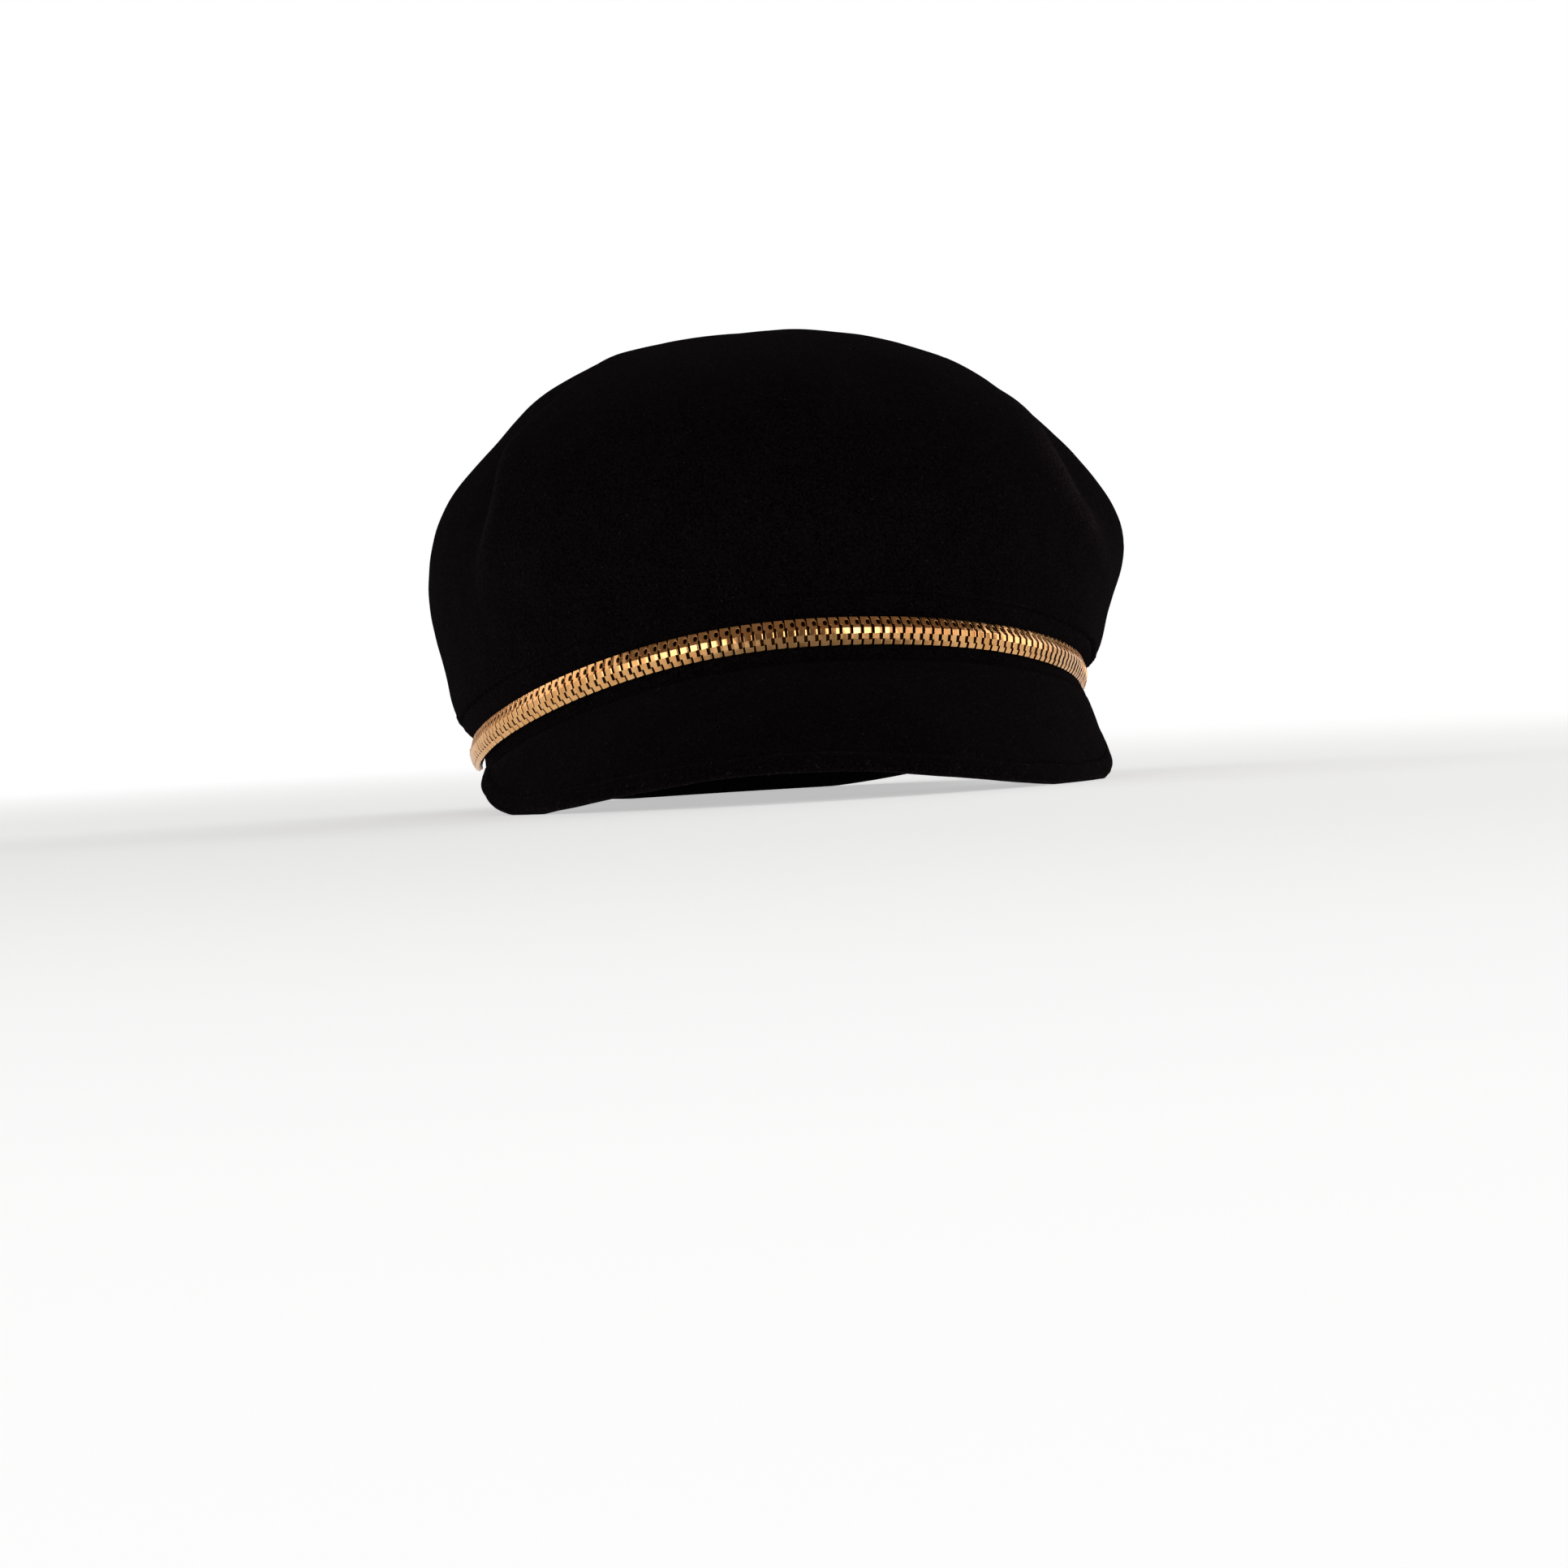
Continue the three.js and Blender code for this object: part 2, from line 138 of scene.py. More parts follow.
# A smooth curve through a table's rows: cubic pieces, their slopes the weighted mean of both sides
def smoothTable(rows, knots, at):
    last = len(rows) - 1
    step = np.diff(knots)[:, None]
    slope = np.diff(rows, axis=0)/step
    tangent = np.empty_like(rows, dtype=float)
    tangent[1:-1] = (slope[:-1]*step[1:] + slope[1:]*step[:-1])/(step[1:] + step[:-1])
    tangent[0], tangent[-1] = slope[0], slope[-1]
    i = np.clip(np.searchsorted(knots, at, side="right") - 1, 0, last - 1)
    f = (at - knots[i])[..., None]/step[i]
    keep = 2*f**3 - 3*f**2 + 1
    leave, arrive = (f**3 - 2*f**2 + f)*step[i], (f**3 - f**2)*step[i]
    return keep*rows[i] + leave*tangent[i] + (1 - keep)*rows[i + 1] + arrive*tangent[i + 1]


# Smooth crown over the plane of the rim: every level is a rounded square, its heights and reaches
# blended between front, sides and back by the squares of the azimuth's cosine and sine
def plainCrown(azimuth, level):
    row = smoothTable(crown["levels"], np.arange(topLevel + 1.0), level)
    ahead, aside = np.cos(np.radians(azimuth)), np.sin(np.radians(azimuth))
    up = (np.clip(ahead, 0, 1)**2*row[..., 0] + np.clip(-ahead, 0, 1)**2*row[..., 3]
          + aside**2*np.where(aside > 0, row[..., 2], row[..., 1]))
    bend = 2/row[..., 8]
    x = np.where(aside > 0, row[..., 6], row[..., 5])*np.sign(aside)*np.abs(aside)**bend
    y = -np.where(ahead > 0, row[..., 4], row[..., 7])*np.sign(ahead)*np.abs(ahead)**bend
    return np.stack([x, y, up], -1)


# Way out of the plain crown: the cross product of a step round it and a step up its levels
def crownNormal(azimuth, level, small=0.05):
    low, high = np.maximum(level - small, 0), np.minimum(level + small, topLevel - small)
    around = plainCrown(azimuth + 0.5, level) - plainCrown(azimuth - 0.5, level)
    return unit(np.cross(around, plainCrown(azimuth, high) - plainCrown(azimuth, low)))


# The same azimuth between -180 and 180 degrees
def wrapped(azimuth):
    return (azimuth + 180) % 360 - 180


# Bell curve: e to the power of minus x squared
def bell(x):
    return np.exp(-x*x)


# How far the felt stands out from the plain crown. At a fold it rises in a bell curve to the crease
# and falls behind it as t exp(1 - t), where t grows from the crease backwards; dents are bell curves.
def relief(azimuth, level):
    height = np.zeros_like(azimuth + level)
    for side, rows in crown["folds"].items():
        fold = smoothTable(rows, rows[:, 0], level)
        behind = wrapped(azimuth - fold[..., 1])*side
        t = np.logaddexp(0, behind/crown["creaseSoft"])*crown["creaseSoft"]/crown["foldDrop"]
        h = (np.maximum(fold[..., 2], 0)*bell(behind/crown["foldRise"])
             - np.maximum(fold[..., 3], 0)*t*np.exp(1 - t))
        height += np.where((level > rows[0, 0]) & (level < rows[-1, 0]), h, 0)
    for middle, at, wide, tall, depth in crown["dents"]:
        height -= depth*bell(wrapped(azimuth - middle)/wide)*bell((level - at)/tall)
    at, tall, depth, fade = crown["seat"]
    return height - depth*np.clip(np.sin(np.radians(azimuth)), 0, 1)**fade*bell((level - at)/tall)


# Painted highlight along the crease of each fold and painted shade behind it, in the felt's colour: a
# bell curve in the azimuth each, as strong as the fold's rise and drop there
def paintFoldHighlightAndShade(azimuth, level):
    foldHighlightAndShade = np.zeros_like(azimuth + level)
    for side, rows in crown["folds"].items():
        fold = smoothTable(rows, rows[:, 0], level)
        behind = wrapped(azimuth - fold[..., 1])*side
        ridge = np.maximum(fold[..., 2], 0)*bell((behind + crown["ridgeAt"][side])/crown["ridgeWide"][side])
        valley = np.maximum(fold[..., 3], 0)*bell((behind - crown["valleyAt"])/crown["valleyWide"])
        h = crown["ridgeHighlight"]*ridge - crown["valleyShade"]*valley
        foldHighlightAndShade += np.where((level > rows[0, 0]) & (level < rows[-1, 0]), h, 0)
    return foldHighlightAndShade


# From the plane of the rim to the table, none of it under the table's surface
def rested(p):
    t = math.radians(rest["tilt"])
    x, y, z = p[..., 0], p[..., 1], p[..., 2]
    up = -y*math.sin(t) + z*math.cos(t) + rest["rimBack"]*math.sin(t) - rest["press"]
    return np.stack([x - rest["middleX"], y*math.cos(t) + z*math.sin(t) - rest["middleY"],
                     np.maximum(up, 0)], -1)


# Point of the felt at a depth under the crown's outer face, along its normal
def crownPoint(azimuth, level, depth=0.0):
    azimuth, level, depth = np.broadcast_arrays(azimuth, level, np.asarray(depth, float))
    out = (relief(azimuth, level) - depth)[..., None]
    return rested(plainCrown(azimuth, level) + crownNormal(azimuth, level)*out)


# Unevenness of soft felt: for each wavelength a sum of plane waves in random directions
def unevenness(points, waves, seed, count=16):
    rng = np.random.default_rng(seed)
    height = np.zeros(points.shape[:-1])
    for wavelength, size in waves:
        ways = unit(rng.normal(size=(count, 3)))*2*np.pi/wavelength
        turns = rng.uniform(0, 2*np.pi, count)
        height += size*np.cos(points @ ways.T + turns).sum(-1)/math.sqrt(count/2)
    return height


# Level of the stitch line over the chain, lower at the sides than in front
def stitchLevel(azimuth):
    aside = np.sin(np.radians(azimuth))**2
    return crown["stitchFront"]*(1 - aside) + crown["stitchSide"]*aside


# Quads that join the rows of a grid of points; a closed grid joins its last column to its first
def gridFaces(rows, columns, closed):
    i = np.arange(rows*columns).reshape(rows, columns)
    j = np.roll(i, -1, 1) if closed else i[:, 1:]
    i = i if closed else i[:, :-1]
    return np.stack([i[:-1], j[:-1], j[1:], i[1:]], -1).reshape(-1, 4)


# Puts points and faces into a mesh, and the piece into the scene on the cap's only body
def makePiece(name, points, faces, nodes=(), smooth=True):
    mesh = bpy.data.meshes.new(name)
    points = np.asarray(points, float).reshape(-1, 3)*mm
    sizes = np.concatenate([np.full(len(f), f.shape[1]) for f in faces])
    corners = np.concatenate([f.ravel() for f in faces])
    mesh.vertices.add(len(points))
    mesh.vertices.foreach_set("co", points.ravel())
    mesh.loops.add(len(corners))
    mesh.loops.foreach_set("vertex_index", corners.astype(np.int32))
    mesh.polygons.add(len(sizes))
    mesh.polygons.foreach_set("loop_start", np.concatenate([[0], np.cumsum(sizes)[:-1]]).astype(np.int32))
    mesh.polygons.foreach_set("use_smooth", np.full(len(sizes), smooth))
    mesh.update(calc_edges=True)
    mesh.validate()
    piece = bpy.data.objects.new(name, mesh)
    bpy.context.scene.collection.objects.link(piece)
    if nodes:
        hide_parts(*nodes)
    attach(piece, "root")
    print(name, "has", len(points), "points and", len(sizes), "faces")
    return piece


# Normals of a grid of points: the cross product of its two directions, by central differences
def gridNormals(points, closed=False):
    if closed:
        along = np.roll(points, -1, 1) - np.roll(points, 1, 1)
    else:
        along = np.gradient(points, axis=1)
    return unit(np.cross(along, np.gradient(points, axis=0)) + 1e-12)


# Rows of the crown's wall from the top down the outer face, round the rim and up the inner face:
# the level of each row before the stitch line bends it, and its depth in the felt
def crownRows():
    domeEnd, sideEnd, seamEnd = crown["rowLevels"]
    rim = crown["rimLevel"]
    dome = np.linspace(topLevel - 0.03, domeEnd, 42, endpoint=False)
    side = np.linspace(domeEnd, sideEnd, 60, endpoint=False)
    seam = np.linspace(sideEnd, seamEnd, 24, endpoint=False)
    band = np.linspace(seamEnd, rim, 18, endpoint=False)
    outer = np.concatenate([dome, side, seam, band])
    turn = np.linspace(0, np.pi, 9)
    rimLevel = rim*(1 - np.sin(turn)**0.5)
    rimDepth = crown["wall"]/2*(1 - np.sign(np.cos(turn))*np.abs(np.cos(turn))**0.7)
    inner = np.concatenate([np.linspace(rim, sideEnd, 16)[1:],
                            np.linspace(sideEnd, topLevel - 0.05, 34)[1:]])
    levels = np.concatenate([outer, rimLevel, inner])
    depths = np.concatenate([outer*0, rimDepth, inner*0 + crown["wall"]])
    return levels, depths, len(outer)


# The crown is one closed grid over azimuth and row. Both faces have the felt's unevenness, a sum of
# waves, and the outer face has the groove of the stitch line, a bell curve over the level that swells
# beside it and goes up and down with each stitch as a cosine.
def makeCrown():
    azimuth = np.linspace(-180, 180, crown["columns"], endpoint=False)
    rows, depths, outer = crownRows()
    row, az = np.meshgrid(rows, azimuth, indexing="ij")
    depth = np.broadcast_to(depths[:, None], row.shape)
    level = row + (stitchLevel(az) - crown["stitchFront"])*bell((row - crown["stitchFront"])/0.7)
    level = np.clip(level, 0, topLevel - 0.02)
    points = crownPoint(az, level, depth)
    off = (level - stitchLevel(az))/crown["grooveWidth"]
    pull = 0.5 + 0.5*np.cos(az*2*np.pi/360*stitches["round"])
    groove = -crown["groove"]*bell(off)*(0.75 + 0.25*pull)
    for at, wide, tall, pulled in crown["swells"]:
        groove += (tall - pulled*pull)*bell((off - at)/wide)
    soft = unevenness(points, crown["hollowWaves"], seed=11)
    fade = np.clip(level/0.8, 0, 1)*np.clip((topLevel - level)/0.4, 0, 1)
    height = np.where(depth < crown["wall"]/2, groove + soft*fade, soft*fade)
    outwards = -gridNormals(points, closed=True)*np.where(depth > crown["wall"]/2, -1, 1)[..., None]
    points = points + outwards*height[..., None]
    points[..., 2] = np.maximum(points[..., 2], 0)
    count, columns = row.shape
    top, bottom = points[0].mean(0), points[-1].mean(0)
    allPoints = np.concatenate([points.reshape(-1, 3), [top, bottom]])
    quads = gridFaces(count, columns, closed=True)
    ring = np.arange(columns)
    tip = np.stack([np.roll(ring, -1), ring, ring*0 + count*columns], -1)
    last = ring + (count - 1)*columns
    low = np.stack([last, np.roll(last, -1), last*0 + count*columns + 1], -1)
    piece = makePiece("crown_felt", allPoints, [quads[:, ::-1], tip[:, ::-1], low[:, ::-1]],
                      ["crown"])
    # painted highlight and shade at the folds, kept on each point for the felt's colour
    foldHighlightAndShade = np.concatenate([paintFoldHighlightAndShade(az, level).ravel(), [0, 0]])
    piece.data.attributes.new("foldHighlightAndShade", "FLOAT", "POINT").data.foreach_set("value", foldHighlightAndShade.astype(np.float32))
    return piece, points[:outer]


peak = {
    "wall": 2.8, "gap": 0.1, "belly": 2.4, "turnIn": 0.3,
    # azimuth of the seam, how far the edge stands out in plan, how high it is over the table
    "edge": np.array([
        [-80, 2.6, 13], [-74, 6.4, 8.4], [-66, 9.2, 3.8], [-56, 11, 0.8], [-44, 15, 2.3],
        [-30, 21.5, 5.4], [-15, 28, 8.8], [0, 30.5, 9.5], [15, 28, 6.2], [30, 21.5, 2.5],
        [44, 14, 0.6], [56, 9.5, 0.5], [66, 8, 1.8], [74, 6, 6.5], [80, 1.6, 14]]),
    "columns": 300,
    "hem": 5.0, "hemRaise": 0.45, "hemGroove": 0.4,
    "waves": ((34, 0.2), (13, 0.04), (6, 0.015)),
}


# Where the peak is sewn on: the rim's edge at a depth in the felt, lowered by the gap along the wall
def seamPoint(azimuth, depth=0.0):
    edge = crownPoint(azimuth, 0.0, depth)
    return edge + unit(edge - crownPoint(azimuth, 0.05, depth))*peak["gap"]


# Top face of the peak: straight lines from the seam to the edge, arched outwards between them
def peakTop(azimuth, run):
    azimuth, run = np.broadcast_arrays(azimuth, run)
    edge = smoothTable(peak["edge"], peak["edge"][:, 0], azimuth)
    seam = seamPoint(azimuth)
    along = seamPoint(azimuth + 0.5) - seamPoint(azimuth - 0.5)
    outward = unit(np.stack([along[..., 1], -along[..., 0], along[..., 0]*0], -1))
    tip = seam + outward*edge[..., 1:2]
    tip[..., 2] = edge[..., 2]
    arch = peak["belly"]*edge[..., 1]/peak["edge"][:, 1].max()*4*run*(1 - run)
    return seam + (tip - seam)*run[..., None] + outward*arch[..., None]


# The peak is a closed grid: round its section (top face, rounded edge, under face, seam) and along
# its azimuth. A share of the wall's thickness is taken at each point of the section, and both ends
# close to a line.
def makePeak():
    reach = peak["edge"][-1, 0]
    sweep = np.linspace(-1, 1, peak["columns"])
    azimuth = reach*np.sin(np.pi/2*sweep)
    top = 1 - (1 - np.linspace(0, 1, 40))**1.5
    turn = np.linspace(0, np.pi, 10)[1:-1]
    seamTurn = np.linspace(0, np.pi, 7)[1:-1]
    run = np.concatenate([top, 1 + 0*turn, top[::-1][::2], 0*seamTurn])
    share = np.concatenate([0*top, (1 - np.cos(turn))/2, 0*top[::2] + 1, (1 + np.cos(seamTurn))/2])
    runs, az = np.meshgrid(run, azimuth, indexing="ij")
    shares = np.broadcast_to(share[:, None], runs.shape)
    small = 0.02
    along = peakTop(az + 0.4, runs) - peakTop(az - 0.4, runs)
    outwards = peakTop(az, runs + small) - peakTop(az, runs - small)
    inwards = unit(np.cross(along, outwards))
    length = np.linalg.norm(peakTop(azimuth, azimuth*0 + 1) - peakTop(azimuth, azimuth*0), axis=-1)
    toEdge, toSeam = (1 - runs)*length, runs*length
    under = peakTop(az, runs) + inwards*peak["wall"]
    turnIn = np.clip(runs/peak["turnIn"], 0, 1)
    turnIn = turnIn*turnIn*(3 - 2*turnIn)
    inner = seamPoint(az, crown["wall"])*(1 - turnIn)[..., None] + under*turnIn[..., None]
    points = peakTop(az, runs)*(1 - shares)[..., None] + inner*shares[..., None]
    bulge = 4*shares*(1 - shares)
    points += unit(outwards)*(bulge*np.where(runs > 0.5, 0.9, -0.12))[..., None]
    onTop, wide = shares < 0.01, np.clip(length/12, 0, 1)
    hem = 1/(1 + np.exp((toEdge - peak["hem"])*5))
    raised = (peak["hemRaise"]*hem*np.clip(toEdge/0.8, 0, 1)**0.5
              - peak["hemGroove"]*bell((toEdge - peak["hem"])/0.45))*wide
    seamRoll = -0.45*bell(toSeam/0.7)
    soft = unevenness(points, peak["waves"], seed=5)*np.clip(toSeam/4, 0, 1)
    height = np.where(onTop, raised + seamRoll + soft, -soft)
    points = points - inwards*height[..., None]
    points[..., 2] = np.maximum(points[..., 2], 0)
    count, columns = runs.shape
    faces = gridFaces(columns, count, closed=True)
    ordered = points.transpose(1, 0, 2)
    caps = []
    for column, turnRound in ((0, 1), (columns - 1, -1)):
        ring = np.arange(count) + column*count
        half = count//2
        pairs = np.stack([ring[:half - 1], ring[1:half], ring[::-1][:half][1:], ring[::-1][:half - 1]], -1)
        caps.append(pairs[:, ::turnRound])
    piece = makePiece("peak_felt", ordered, [faces] + caps, ["peak"])
    return piece, points[:len(top)], points[:len(top) + len(turn)]


stitches = {
    "round": 168,             # stitches in the line that goes round the crown
    "long": 2.3, "thick": 0.42, "sunk": 0.16,
    "hemPitch": 3.0,
}


# Threads lying on the felt: a row of short tubes. Each is a section carried over a low arch from
# one needle hole to the next, thinner towards its ends.
def stitchTubes(starts, ends, normals, sides=6, steps=6, arch=0.3):
    f = np.linspace(0, 1, steps)
    spine = starts[:, None] + (ends - starts)[:, None]*f[None, :, None]
    rise = arch*np.sin(np.pi*f) - stitches["sunk"]
    spine = spine + normals[:, None]*rise[None, :, None]
    along = unit(ends - starts)
    across = unit(np.cross(along, normals))
    turn = np.arange(sides)*2*np.pi/sides
    radius = stitches["thick"]/2*(0.45 + 0.55*np.sin(np.pi*f)**0.5)
    ring = (across[:, None, None]*np.cos(turn)[None, None, :, None]
            + normals[:, None, None]*np.sin(turn)[None, None, :, None])
    points = spine[:, :, None] + ring*radius[None, :, None, None]
    perTube = steps*sides
    quads = gridFaces(steps, sides, closed=True)[:, ::-1]
    first = np.arange(sides)
    closing = np.stack([first, (first + perTube - sides)[::-1]])
    shift = (np.arange(len(starts))*perTube)[:, None, None]
    tubes = (quads[None] + shift).reshape(-1, 4)
    caps = (closing[None] + shift).reshape(-1, sides)
    return points.reshape(-1, 3), tubes, caps


# Both sewn lines: stitches at even steps of azimuth round the crown, outside and inside, and at even
# distances along the row of the peak's top face that lies at the hem
def makeStitches(peakFace):
    count = stitches["round"]
    pitch = 360/count
    middle = (np.arange(count) + 0.5)*pitch - 180
    rng = np.random.default_rng(3)
    middle = middle + rng.normal(0, 0.05, count)
    perDegree = np.linalg.norm(crownPoint(middle + 0.5, stitchLevel(middle))
                               - crownPoint(middle - 0.5, stitchLevel(middle)), axis=-1)
    half = stitches["long"]/2/perDegree
    wobble = rng.normal(0, 0.006, (2, count))
    sets = []
    for depth, side in ((0.0, 1), (crown["wall"], -1)):
        sunk = depth + side*crown["groove"]*0.5
        a, b = (crownPoint(middle + s*half, stitchLevel(middle + s*half) + w, sunk)
                for s, w in zip((-1, 1), wobble))
        n = unit(crownPoint(middle, stitchLevel(middle), -1.0) - crownPoint(middle, stitchLevel(middle), 0.0))
        sets.append(stitchTubes(a, b, n*side))
    fromEdge = np.linalg.norm(peakFace - peakFace[-1], axis=-1)
    row = np.abs(fromEdge - peak["hem"]).argmin(0)
    line = peakFace[row, np.arange(peakFace.shape[1])]
    wide = fromEdge[0] > peak["hem"] + 3
    line = line[wide]
    normal = -gridNormals(peakFace)[row, np.arange(peakFace.shape[1])][wide]
    normal *= np.sign(normal[:, 2:3])
    travelled = np.concatenate([[0], np.cumsum(np.linalg.norm(np.diff(line, axis=0), axis=-1))])
    starts = np.arange(0.5, travelled[-1] - stitches["hemPitch"], stitches["hemPitch"])
    at = [np.stack([np.interp(s, travelled, v) for v in line.T], -1)
          for s in (starts, starts + stitches["long"]*0.85)]
    up = unit(np.stack([np.interp(starts, travelled, v) for v in normal.T], -1))
    sets.append(stitchTubes(at[0], at[1], up))
    base = np.cumsum([0] + [len(s[0]) for s in sets])
    points = np.concatenate([s[0] for s in sets])
    tubes = np.concatenate([s[1] + b for s, b in zip(sets, base)])
    caps = np.concatenate([s[2] + b for s, b in zip(sets, base)])
    return makePiece("stitches", points, [tubes, caps])


chain = {
    "level": 0.83, "start": -96, "end": 88, "pitch": 2.85, "deep": 0.22,
    # azimuths, and degrees by which the chain leans out at its top there, and the place across and
    # out from the felt that it leans about
    "lean": ((36, 50, 70), (0, 9, 21)), "leanAbout": (2.0, 1.8),
    "bevel": 0.07, "tipped": 0.012, "raised": 0.03,     # the last two by chance, at each link
    # section of a link from its upper edge to its lower: across the chain, out from the felt
    "section": np.array([[3.5, 0.9], [3.6, 1.8], [0.4, 3.7], [-1.1, 3.66], [-2.2, 3.43], [-3.05, 3.1],
                         [-4.2, 2.45], [-3.8, 1.1]]),
    # chart of one link laid flat: its columns go along the chain, its rows go round the section.
    # The right edge has a round eye at the top and a slot lower down, which the next link's tab fills.
    "columns": np.array([-0.6, -0.5, -0.28, 0, 0.88, 1.06, 1.3, 1.78, 1.93, 2.13, 2.28]),
    "rows": np.array([0, 0.9, 1.3, 1.7, 2.05, 3.2, 3.55, 4.6, 6.25, 7.75, 8.15, 9.5, 10.9]),
    "chart": [".######...",
              ".######...",
              ".#######..",
              ".####..##.",
              ".###....#.",
              ".####..##.",
              "...######.",
              "...######.",
              "######....",
              "...###....",
              "...#######",
              "...#######"],
    # fall of the link's surface along it: its right end turns away, and its tab stands up
    "fall": np.array([[-0.6, -0.1], [0, 0], [1.3, 0.02], [1.78, 0.055], [1.93, 0.09], [2.13, 0.16],
                      [2.28, 0.23]]),
    "core": np.array([[2.9, 0.9], [2.7, 1.3], [0.3, 2.3], [-2.4, 2.1], [-3.2, 1.7], [-2.9, 1.1]]),
}


# Places on the chain's route by distance from its start: a point of the felt, and the ways across
# the chain and out of the felt, turned by its lean. Past its ends it goes on along the felt.
class Route:
    def __init__(self):
        self.azimuths = np.linspace(chain["start"] - 8, chain["end"] + 8, 1600)
        points = crownPoint(self.azimuths, chain["level"])
        steps = np.linalg.norm(np.diff(points, axis=0), axis=-1)
        self.travelled = np.concatenate([[0], np.cumsum(steps)])
        self.first = np.interp(chain["start"], self.azimuths, self.travelled)
        self.length = np.interp(chain["end"], self.azimuths, self.travelled) - self.first

    def place(self, distance):
        azimuth = np.interp(distance + self.first, self.travelled, self.azimuths)
        level = azimuth*0 + chain["level"]
        along = unit(crownPoint(azimuth + 0.5, level) - crownPoint(azimuth - 0.5, level))
        up = crownPoint(azimuth, level + 0.05) - crownPoint(azimuth, level - 0.05)
        out = unit(np.cross(along, up))
        sideways = unit(np.cross(out, along))
        lean = np.radians(np.interp(azimuth, *chain["lean"]))[..., None]
        across, off = chain["leanAbout"]
        point = crownPoint(azimuth, level) + (sideways*across + out*off)*np.sin(lean)
        cos, sin = np.cos(lean), np.sin(lean)
        return point, sideways*cos + out*sin, out*cos - sideways*sin

    # Carries section coordinates (distance, across, out) to the cap
    def carry(self, distance, across, outward):
        point, sideways, out = self.place(distance)
        return point + sideways*across[..., None] + out*outward[..., None]


# Across and out on the link's section at a distance round it, and a depth inside it
def onSection(distance, depth):
    section = chain["section"]
    steps = np.linalg.norm(np.diff(section, axis=0), axis=-1)
    travelled = np.concatenate([[0], np.cumsum(steps)])
    at = distance/chain["rows"][-1]*travelled[-1]
    inwards = unit(np.array([0.0, 1.2]) - section)*[0.9, 1.0]
    outer = np.stack([np.interp(at, travelled, v) for v in section.T], -1)
    inside = np.stack([np.interp(at, travelled, v) for v in inwards.T], -1)
    return outer + inside*np.asarray(depth)[..., None]


# One link from its chart: each marked cell gets an outer and an inner face, and each border between
# a marked and an empty cell gets a wall
def linkTemplate():
    marked = np.array([[c == "#" for c in row] for row in chain["chart"]])
    rows, columns = chain["rows"], chain["columns"]
    q, u = np.meshgrid(rows, columns, indexing="ij")
    fall = np.interp(u, *chain["fall"].T)
    outer = np.concatenate([u[..., None], onSection(q, fall)], -1)
    inner = np.concatenate([u[..., None], onSection(q, fall + chain["deep"])], -1)
    index = np.arange(q.size).reshape(q.shape)
    a, b, c, d = index[:-1, :-1], index[:-1, 1:], index[1:, 1:], index[1:, :-1]
    faces = [np.stack([a, d, c, b], -1)[marked], np.stack([a, b, c, d], -1)[marked] + q.size]
    padded = np.pad(marked, 1)
    tall, wide = marked.shape
    for down, right, start, stop in ((-1, 0, a, b), (0, 1, b, c), (1, 0, c, d), (0, -1, d, a)):
        beside = padded[1 + down:1 + down + tall, 1 + right:1 + right + wide]
        wall = marked & ~beside
        s, e = start[wall], stop[wall]
        faces.append(np.stack([s, e, e + q.size, s + q.size], -1))
    isInner = np.concatenate([np.full(len(group), k == 1) for k, group in enumerate(faces)])
    faces = np.concatenate(faces)
    used, compact = np.unique(faces, return_inverse=True)
    points = np.concatenate([outer.reshape(-1, 3), inner.reshape(-1, 3)])[used]
    return points, compact.reshape(faces.shape), isInner


# The chain: one link's points repeated along the route, each link tipped and raised a little by chance
def makeChain(route):
    points, faces, isInner = linkTemplate()
    count = int(route.length/chain["pitch"])
    rng = np.random.default_rng(8)
    starts = (np.arange(count) + 0.25)*(route.length/count)
    local = np.broadcast_to(points, (count,) + points.shape)
    tip = rng.normal(0, chain["tipped"], (count, 1))
    rise = rng.normal(0, chain["raised"], (count, 1))
    placed = route.carry(starts[:, None] + local[..., 0], local[..., 1],
                         local[..., 2] + rise + tip*local[..., 1])
    allFaces = (faces[None] + (np.arange(count)*len(points))[:, None, None]).reshape(-1, 4)
    piece = makePiece("chain_links", placed, [allFaces], ["chain"], smooth=False)
    # inner faces of each link take the second material, a painted shade
    piece.data.polygons.foreach_set("material_index", np.tile(isInner, count).astype(np.int32))
    bevel = piece.modifiers.new("edges", "BEVEL")
    bevel.width, bevel.segments = chain["bevel"]*mm, 2
    bevel.limit_method, bevel.angle_limit = "ANGLE", math.radians(25)
    bevel.use_clamp_overlap = True
    return piece


# Faces of a tube: quads round it, and one face over each end
def tubeFaces(count, sides):
    first = np.arange(sides)[None]
    return [gridFaces(count, sides, closed=True), first[:, ::-1], first + (count - 1)*sides]


# Painted shade between the links: a dark core, one section carried along the route, and closed at its ends
def makeChainCore(route):
    end = 0.4
    across, outward = chain["core"].T
    distances = np.linspace(end, route.length - end, 240)
    placed = np.broadcast_to(distances[:, None], (len(distances), len(across)))
    points = route.carry(placed, across[None], outward[None])
    return makePiece("chain_shade_core", points, tubeFaces(*placed.shape))


crimp = {"wide": 6.4, "thick": 2.3, "clear": 1.1, "long": 4.0, "sides": 40, "roundness": 0.42, "gap": 0.3}


